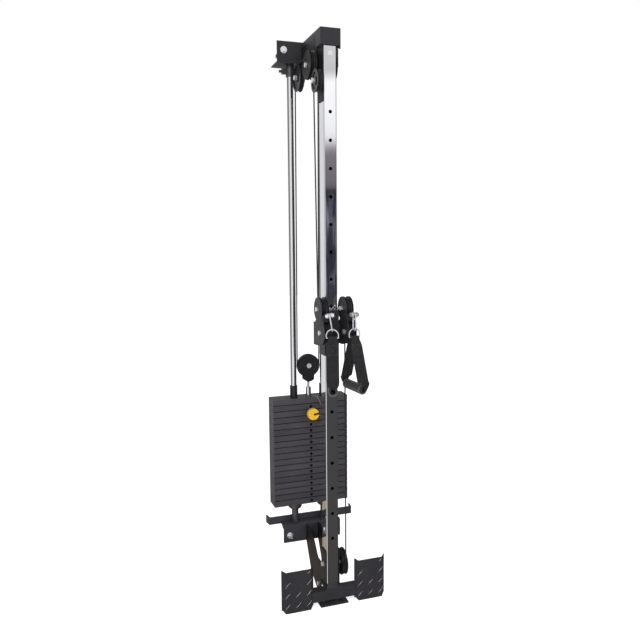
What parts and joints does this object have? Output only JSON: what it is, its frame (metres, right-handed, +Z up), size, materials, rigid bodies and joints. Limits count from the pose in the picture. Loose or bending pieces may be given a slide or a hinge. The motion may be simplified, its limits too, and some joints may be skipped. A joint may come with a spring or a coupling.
{
  "type": "wall pulley weight stack",
  "caption": "Wall-mounted dual cable pulley column with a height-adjustable pulley carriage, a pin-selected weight stack on guide rods, and two webbing handles on snap hooks.",
  "frame": {"origin": "on the floor under the middle of the whole object's box, studs and handles included", "axes": "+X along the wall towards the user's right-hand side as seen from the front, +Y into the wall, +Z up"},
  "size_m": [0.4222, 0.5484, 2.162],
  "materials": {
    "chrome": "polished",
    "frame_paint": "fine textured dark grey powder coat",
    "stack_paint": "satin black",
    "zinc": "bright zinc plate",
    "black_plastic": "moulded, satin",
    "cable_nylon": "smooth nylon coat",
    "rubber": "matt",
    "grip_foam": "fine foam",
    "knob_yellow": "gloss",
    "webbing": "woven webbing",
    "lanyard_cord": "braided cord"
  },
  "bodies": {
    "frame": {"column": "chrome", "base_beam": "frame_paint", "foot_plates": "frame_paint", "side_plates": "frame_paint", "lower_bracket": "frame_paint", "upper_bracket": "frame_paint", "frame_bolts": "zinc", "head_box": "frame_paint", "top_beam": "frame_paint", "pulley_hangers": "frame_paint", "pulley_axles": "zinc", "guide_rods": "chrome", "rod_spacers": "black_plastic", "rubber_bumpers": "rubber", "standoff_bar": "frame_paint", "stack_plates": "stack_paint", "cable_top": "cable_nylon"},
    "wheel_rear_left": {"pulley_rear_left": "black_plastic"},
    "wheel_front_left": {"pulley_front_left": "black_plastic"},
    "wheel_guide": {"pulley_guide": "black_plastic"},
    "wheel_rear_right": {"pulley_rear_right": "black_plastic"},
    "wheel_front_right": {"pulley_front_right": "black_plastic"},
    "wheel_bottom": {"pulley_bottom": "black_plastic"},
    "lift": {"top_plate": "stack_paint", "plate_02": "stack_paint", "plate_03": "stack_paint", "rod_bushings": "black_plastic", "selector_rod": "chrome", "pulley_housing": "black_plastic", "cable_loop": "cable_nylon", "cable_lift_runs": "cable_nylon", "lanyard": "lanyard_cord"},
    "wheel_moving": {"moving_pulley": "black_plastic"},
    "pin": {"selector_pin": "knob_yellow"},
    "carriage": {"sleeve": "frame_paint", "liners": "black_plastic", "carriage_plates": "frame_paint", "carriage_axles": "zinc", "cable_down": "cable_nylon", "cable_up": "cable_nylon", "cable_exits": "cable_nylon"},
    "plunger": {"pop_pin": "black_plastic"},
    "wheel_upper_left": {"pulley_upper_left": "black_plastic"},
    "wheel_lower_left": {"pulley_lower_left": "black_plastic"},
    "wheel_upper_right": {"pulley_upper_right": "black_plastic"},
    "wheel_lower_right": {"pulley_lower_right": "black_plastic"},
    "end_left": {"ball_left": "rubber", "shackle_left": "zinc"},
    "snap_left": {"hook_left": "zinc"},
    "snap_gate_left": {"gate_left": "zinc"},
    "handle_left": {"ring_left": "zinc", "strap_left": "webbing"},
    "hand_left": {"grip_left": "grip_foam"},
    "end_right": {"ball_right": "rubber", "shackle_right": "zinc"},
    "snap_right": {"hook_right": "zinc"},
    "snap_gate_right": {"gate_right": "zinc"},
    "handle_right": {"ring_right": "zinc", "strap_right": "webbing"},
    "hand_right": {"grip_right": "grip_foam"}
  },
  "joints": [
    {"name": "lift_slide", "type": "slide", "parent": "frame", "child": "lift", "axis": [0, 0, 1], "range_m": [0, 1], "deforming": ["cable_lift_runs"]},
    {"name": "rear_left_turn", "type": "hinge", "parent": "frame", "child": "wheel_rear_left", "pos_m": [-0.047, 0.13918, 2.022], "axis": [1, 0, 0], "range_deg": [-1, 1230]},
    {"name": "front_left_turn", "type": "hinge", "parent": "frame", "child": "wheel_front_left", "pos_m": [-0.047, -0.00682, 2.034], "axis": [1, 0, 0], "range_deg": [-1, 1230]},
    {"name": "guide_turn", "type": "hinge", "parent": "frame", "child": "wheel_guide", "pos_m": [-0.047, -0.07882, 1.964], "axis": [1, 0, 0], "range_deg": [-1560, 1]},
    {"name": "rear_right_turn", "type": "hinge", "parent": "frame", "child": "wheel_rear_right", "pos_m": [0.047, 0.13918, 2.022], "axis": [1, 0, 0], "range_deg": [-1, 1230]},
    {"name": "front_right_turn", "type": "hinge", "parent": "frame", "child": "wheel_front_right", "pos_m": [0.047, 0.03518, 2.034], "axis": [1, 0, 0], "range_deg": [-1, 1230]},
    {"name": "bottom_turn", "type": "hinge", "parent": "frame", "child": "wheel_bottom", "pos_m": [0.047, -0.05932, 0.148], "axis": [1, 0, 0], "range_deg": [-1230, 1]},
    {"name": "moving_turn", "type": "hinge", "parent": "lift", "child": "wheel_moving", "pos_m": [0, 0.20318, 0.887], "axis": [0, 1, 0], "continuous": true},
    {"name": "selector_pin_slide", "type": "slide", "parent": "lift", "child": "pin", "axis": [0, -1, 0], "range_m": [0, 0.12]},
    {"name": "carriage_slide", "type": "slide", "parent": "frame", "child": "carriage", "axis": [0, 0, 1], "range_m": [-0.7, 0.7], "deforming": ["cable_down", "cable_up"]},
    {"name": "plunger_slide", "type": "slide", "parent": "carriage", "child": "plunger", "axis": [0, 1, 0], "range_m": [0, 0.009]},
    {"name": "upper_left_turn", "type": "hinge", "parent": "carriage", "child": "wheel_upper_left", "pos_m": [-0.047, -0.11182, 1.153], "axis": [1, 0, 0], "range_deg": [-1440, 1]},
    {"name": "lower_left_turn", "type": "hinge", "parent": "carriage", "child": "wheel_lower_left", "pos_m": [-0.047, -0.14182, 1.07], "axis": [1, 0, 0], "continuous": true},
    {"name": "upper_right_turn", "type": "hinge", "parent": "carriage", "child": "wheel_upper_right", "pos_m": [0.047, -0.11182, 1.153], "axis": [1, 0, 0], "continuous": true},
    {"name": "lower_right_turn", "type": "hinge", "parent": "carriage", "child": "wheel_lower_right", "pos_m": [0.047, -0.14182, 1.07], "axis": [1, 0, 0], "range_deg": [-1, 1440]},
    {"name": "left_pull", "type": "slide", "parent": "carriage", "child": "end_left", "axis": [0, -0.9405, 0.3399], "range_m": [0, 1]},
    {"name": "left_snap_swing", "type": "hinge", "parent": "end_left", "child": "snap_left", "pos_m": [-0.047, -0.19982, 1.1375], "axis": [0.9326, -0.3211, 0.165], "range_deg": [-80, 2]},
    {"name": "left_gate_hinge", "type": "hinge", "parent": "snap_left", "child": "snap_gate_left", "pos_m": [-0.04417, -0.21137, 1.09903], "axis": [0.9326, -0.3211, 0.165], "range_deg": [-20, 0], "stiffness_Nm_per_rad": 0.03, "springref_deg": 11.46},
    {"name": "left_handle_swing", "type": "hinge", "parent": "snap_left", "child": "handle_left", "pos_m": [-0.03839, -0.20279, 1.08306], "axis": [0.3256, 0.9455, 0], "range_deg": [-3, 30]},
    {"name": "left_grip_turn", "type": "hinge", "parent": "handle_left", "child": "hand_left", "pos_m": [-0.03839, -0.20279, 0.87756], "axis": [0.3256, 0.9455, 0], "continuous": true},
    {"name": "right_pull", "type": "slide", "parent": "carriage", "child": "end_right", "axis": [0, -0.9405, 0.3399], "range_m": [0, 1]},
    {"name": "right_snap_swing", "type": "hinge", "parent": "end_right", "child": "snap_right", "pos_m": [0.047, -0.19982, 1.1375], "axis": [0.9945, 0.1045, 0], "range_deg": [-80, 2]},
    {"name": "right_gate_hinge", "type": "hinge", "parent": "snap_right", "child": "snap_gate_right", "pos_m": [0.04804, -0.20977, 1.0985], "axis": [0.9945, 0.1045, 0], "range_deg": [-20, 0], "stiffness_Nm_per_rad": 0.03, "springref_deg": 11.46},
    {"name": "right_handle_swing", "type": "hinge", "parent": "snap_right", "child": "handle_right", "pos_m": [0.047, -0.19982, 1.0823], "axis": [-0.1045, 0.9945, 0], "range_deg": [-30, 3]},
    {"name": "right_grip_turn", "type": "hinge", "parent": "handle_right", "child": "hand_right", "pos_m": [0.047, -0.19982, 0.8768], "axis": [-0.1045, 0.9945, 0], "continuous": true}
  ],
  "couplings": [
    {"joint": "rear_left_turn", "follows": "lift_slide", "rad_per_m": 21.277},
    {"joint": "front_left_turn", "follows": "lift_slide", "rad_per_m": 21.277},
    {"joint": "guide_turn", "follows": "lift_slide", "rad_per_m": -27.027},
    {"joint": "rear_right_turn", "follows": "lift_slide", "rad_per_m": 21.277},
    {"joint": "front_right_turn", "follows": "lift_slide", "rad_per_m": 21.277},
    {"joint": "bottom_turn", "follows": "lift_slide", "rad_per_m": -21.277},
    {"joint": "upper_left_turn", "follows": "lift_slide", "rad_per_m": -25},
    {"joint": "lower_right_turn", "follows": "lift_slide", "rad_per_m": 25},
    {"joint": "left_pull", "follows": "lift_slide", "ratio": 1},
    {"joint": "right_pull", "follows": "lift_slide", "ratio": 1}
  ]
}
